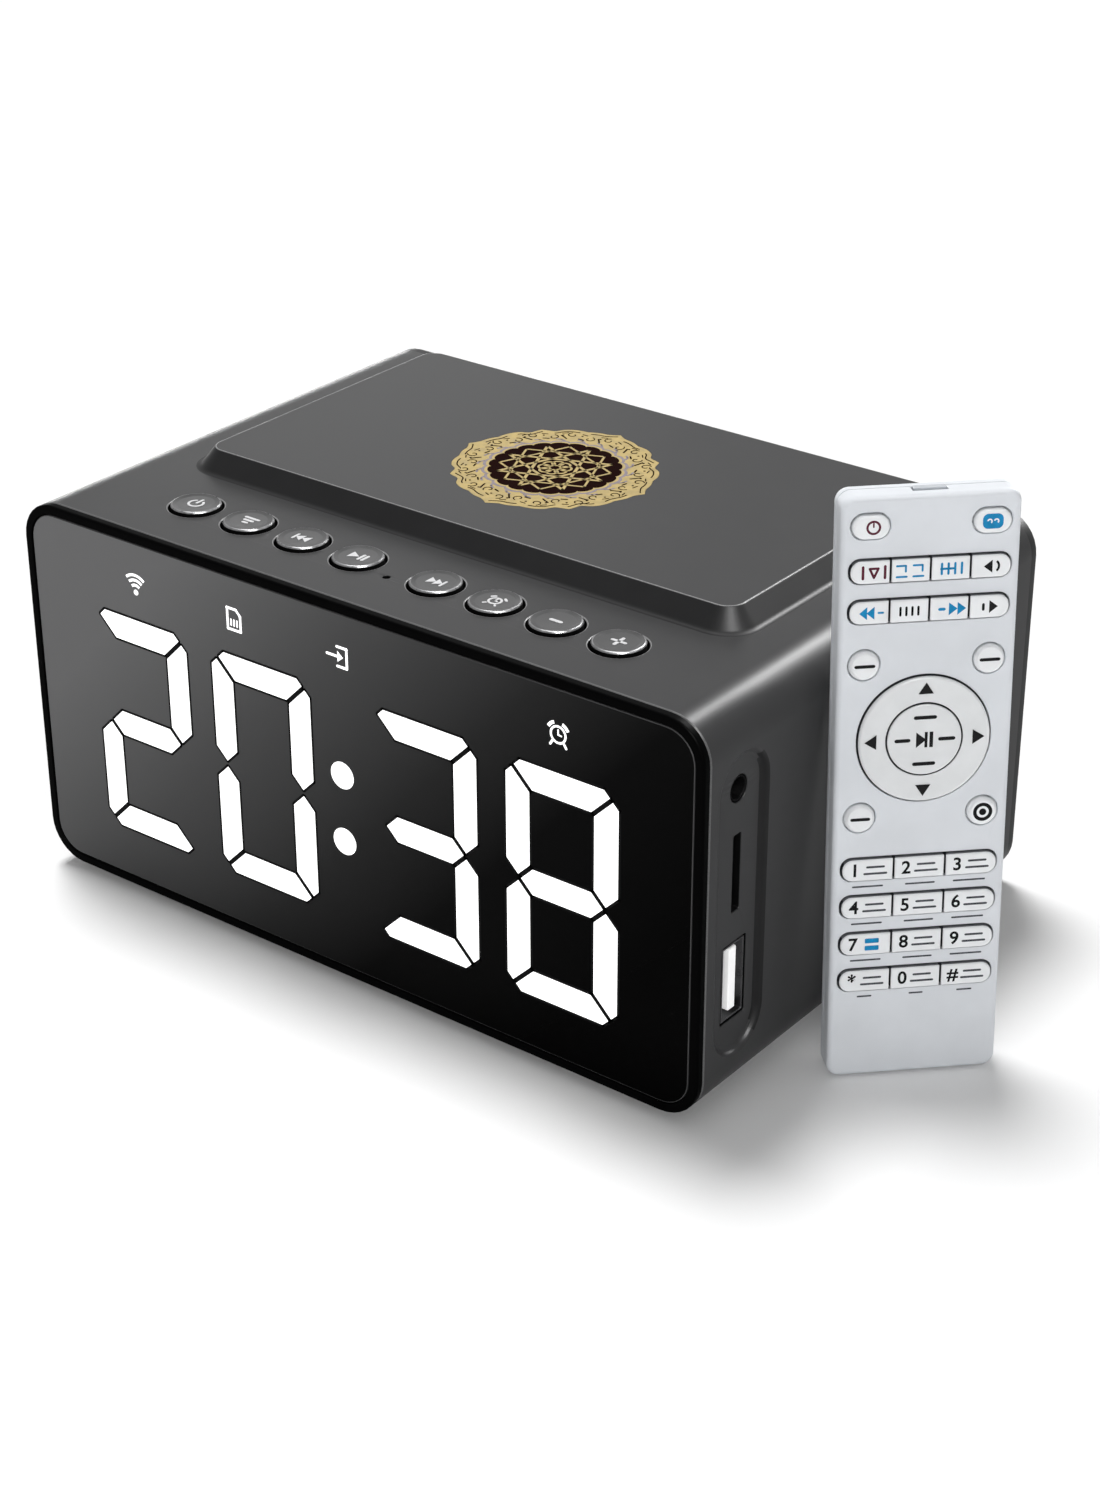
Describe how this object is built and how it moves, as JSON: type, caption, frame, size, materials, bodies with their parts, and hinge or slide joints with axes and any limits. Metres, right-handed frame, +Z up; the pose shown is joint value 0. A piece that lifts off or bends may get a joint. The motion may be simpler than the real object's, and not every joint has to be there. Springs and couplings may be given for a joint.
{
  "type": "quran speaker",
  "caption": "Box-shaped bedside speaker with a clock display, round keys and a raised charging pad on top, side sockets, and a slim remote control standing beside it.",
  "frame": {"origin": "under the middle of the box round speaker and remote, on the surface they stand on", "axes": "+X to the speaker's right as seen from its display side, +Y from the display to the rear grille, +Z up"},
  "size_m": [0.1664, 0.0962, 0.0957],
  "materials": {
    "cabinet": "satin gunmetal grey paint",
    "bezel": "satin black",
    "lens": "smoked, glossy",
    "key": "satin grey with a bright rim",
    "inner": "moulded black",
    "light": "translucent white",
    "board": "green circuit board",
    "copper": "enamelled copper wire, drawn as one ring",
    "ferrite": "sintered, dull",
    "gold": "gold ornament round a dark brown middle",
    "metal": "plated steel",
    "rubber": "moulded black rubber",
    "cone": "pressed paper pulp",
    "cell": "blue sleeve",
    "remote_shell": "moulded pale grey",
    "remote_key": "near-white silicone",
    "remote_window": "dark, lets infrared through"
  },
  "bodies": {
    "speaker": {"cabinet": "cabinet", "front_bezel": "bezel", "front_lens": "lens", "display_mask": "inner", "hour_tens_light_guide": "light", "hour_units_light_guide": "light", "minute_tens_light_guide": "light", "minute_units_light_guide": "light", "colon_light_guide": "light", "display_board": "board", "key_board": "board", "microphone": "metal", "pad_emblem": "gold", "charging_coil": "copper", "coil_shield": "ferrite", "audio_socket": "inner", "card_socket": "metal", "usb_socket": "metal", "usb_tongue": "light", "main_board": "board", "battery_cell": "cell", "rear_cover": "cabinet", "screw_left_lower": "metal", "screw_left_upper": "metal", "screw_right_lower": "metal", "screw_right_upper": "metal", "left_driver_frame": "metal", "left_driver_magnet": "ferrite", "right_driver_frame": "metal", "right_driver_magnet": "ferrite", "power_inlet": "inner", "foot_front_left": "rubber", "foot_front_right": "rubber", "foot_rear_left": "rubber", "foot_rear_right": "rubber"},
    "key_power": {"key_power": "key"},
    "key_mode": {"key_mode": "key"},
    "key_previous": {"key_previous": "key"},
    "key_play": {"key_play": "key"},
    "key_next": {"key_next": "key"},
    "key_alarm": {"key_alarm": "key"},
    "key_volume_down": {"key_volume_down": "key"},
    "key_volume_up": {"key_volume_up": "key"},
    "left_driver_cone": {"left_driver_cone": "cone"},
    "right_driver_cone": {"right_driver_cone": "cone"},
    "remote": {"remote_front_shell": "remote_shell", "remote_rear_shell": "remote_shell", "remote_coin_cell": "metal", "remote_keypad": "remote_key", "remote_board": "board", "remote_infrared_window": "remote_window"},
    "remote_battery_cover": {"remote_battery_cover": "remote_shell"},
    "remote_power_key": {"remote_power_key": "remote_key"},
    "remote_source_key": {"remote_source_key": "remote_key"},
    "remote_upper_left_key": {"remote_upper_left_key": "remote_key"},
    "remote_upper_right_key": {"remote_upper_right_key": "remote_key"},
    "remote_lower_left_key": {"remote_lower_left_key": "remote_key"},
    "remote_lower_right_key": {"remote_lower_right_key": "remote_key"},
    "remote_direction_ring": {"remote_direction_ring": "remote_key"},
    "remote_ok_key": {"remote_ok_key": "remote_key"}
  },
  "joints": [
    {"name": "power_press", "type": "slide", "parent": "speaker", "child": "key_power", "axis": [0, 0, -1], "range_m": [0, 0.0006], "stiffness_N_per_m": 300, "springref_m": -0.0005},
    {"name": "mode_press", "type": "slide", "parent": "speaker", "child": "key_mode", "axis": [0, 0, -1], "range_m": [0, 0.0006], "stiffness_N_per_m": 300, "springref_m": -0.0005},
    {"name": "previous_press", "type": "slide", "parent": "speaker", "child": "key_previous", "axis": [0, 0, -1], "range_m": [0, 0.0006], "stiffness_N_per_m": 300, "springref_m": -0.0005},
    {"name": "play_press", "type": "slide", "parent": "speaker", "child": "key_play", "axis": [0, 0, -1], "range_m": [0, 0.0006], "stiffness_N_per_m": 300, "springref_m": -0.0005},
    {"name": "next_press", "type": "slide", "parent": "speaker", "child": "key_next", "axis": [0, 0, -1], "range_m": [0, 0.0006], "stiffness_N_per_m": 300, "springref_m": -0.0005},
    {"name": "alarm_press", "type": "slide", "parent": "speaker", "child": "key_alarm", "axis": [0, 0, -1], "range_m": [0, 0.0006], "stiffness_N_per_m": 300, "springref_m": -0.0005},
    {"name": "volume_down_press", "type": "slide", "parent": "speaker", "child": "key_volume_down", "axis": [0, 0, -1], "range_m": [0, 0.0006], "stiffness_N_per_m": 300, "springref_m": -0.0005},
    {"name": "volume_up_press", "type": "slide", "parent": "speaker", "child": "key_volume_up", "axis": [0, 0, -1], "range_m": [0, 0.0006], "stiffness_N_per_m": 300, "springref_m": -0.0005},
    {"name": "left_cone_stroke", "type": "slide", "parent": "speaker", "child": "left_driver_cone", "axis": [0, 1, 0], "range_m": [-0.0005, 0.0005], "stiffness_N_per_m": 1000},
    {"name": "right_cone_stroke", "type": "slide", "parent": "speaker", "child": "right_driver_cone", "axis": [0, 1, 0], "range_m": [-0.0005, 0.0005], "stiffness_N_per_m": 1000},
    {"name": "remote_lift", "type": "slide", "parent": "speaker", "child": "remote", "axis": [0, 0, 1], "range_m": [0, 0.1]},
    {"name": "battery_cover_pull", "type": "slide", "parent": "remote", "child": "remote_battery_cover", "axis": [-0.7044, 0.7044, -0.0872], "range_m": [0, 0.006]},
    {"name": "remote_power_press", "type": "slide", "parent": "remote", "child": "remote_power_key", "axis": [-0.7044, 0.7044, -0.0872], "range_m": [0, 0.0004], "stiffness_N_per_m": 200, "springref_m": -0.0004},
    {"name": "remote_source_press", "type": "slide", "parent": "remote", "child": "remote_source_key", "axis": [-0.7044, 0.7044, -0.0872], "range_m": [0, 0.0004], "stiffness_N_per_m": 200, "springref_m": -0.0004},
    {"name": "remote_upper_left_press", "type": "slide", "parent": "remote", "child": "remote_upper_left_key", "axis": [-0.7044, 0.7044, -0.0872], "range_m": [0, 0.0004], "stiffness_N_per_m": 200, "springref_m": -0.0004},
    {"name": "remote_upper_right_press", "type": "slide", "parent": "remote", "child": "remote_upper_right_key", "axis": [-0.7044, 0.7044, -0.0872], "range_m": [0, 0.0004], "stiffness_N_per_m": 200, "springref_m": -0.0004},
    {"name": "remote_lower_left_press", "type": "slide", "parent": "remote", "child": "remote_lower_left_key", "axis": [-0.7044, 0.7044, -0.0872], "range_m": [0, 0.0004], "stiffness_N_per_m": 200, "springref_m": -0.0004},
    {"name": "remote_lower_right_press", "type": "slide", "parent": "remote", "child": "remote_lower_right_key", "axis": [-0.7044, 0.7044, -0.0872], "range_m": [0, 0.0004], "stiffness_N_per_m": 200, "springref_m": -0.0004},
    {"name": "remote_ok_press", "type": "slide", "parent": "remote", "child": "remote_ok_key", "axis": [-0.7044, 0.7044, -0.0872], "range_m": [0, 0.0004], "stiffness_N_per_m": 200, "springref_m": -0.0004},
    {"name": "remote_ring_rock", "type": "hinge", "parent": "remote", "child": "remote_direction_ring", "pos_m": [0.06937, -0.00918, 0.05696], "axis": [0.7071, 0.7071, 0], "range_deg": [-2, 2], "stiffness_Nm_per_rad": 0.05}
  ]
}
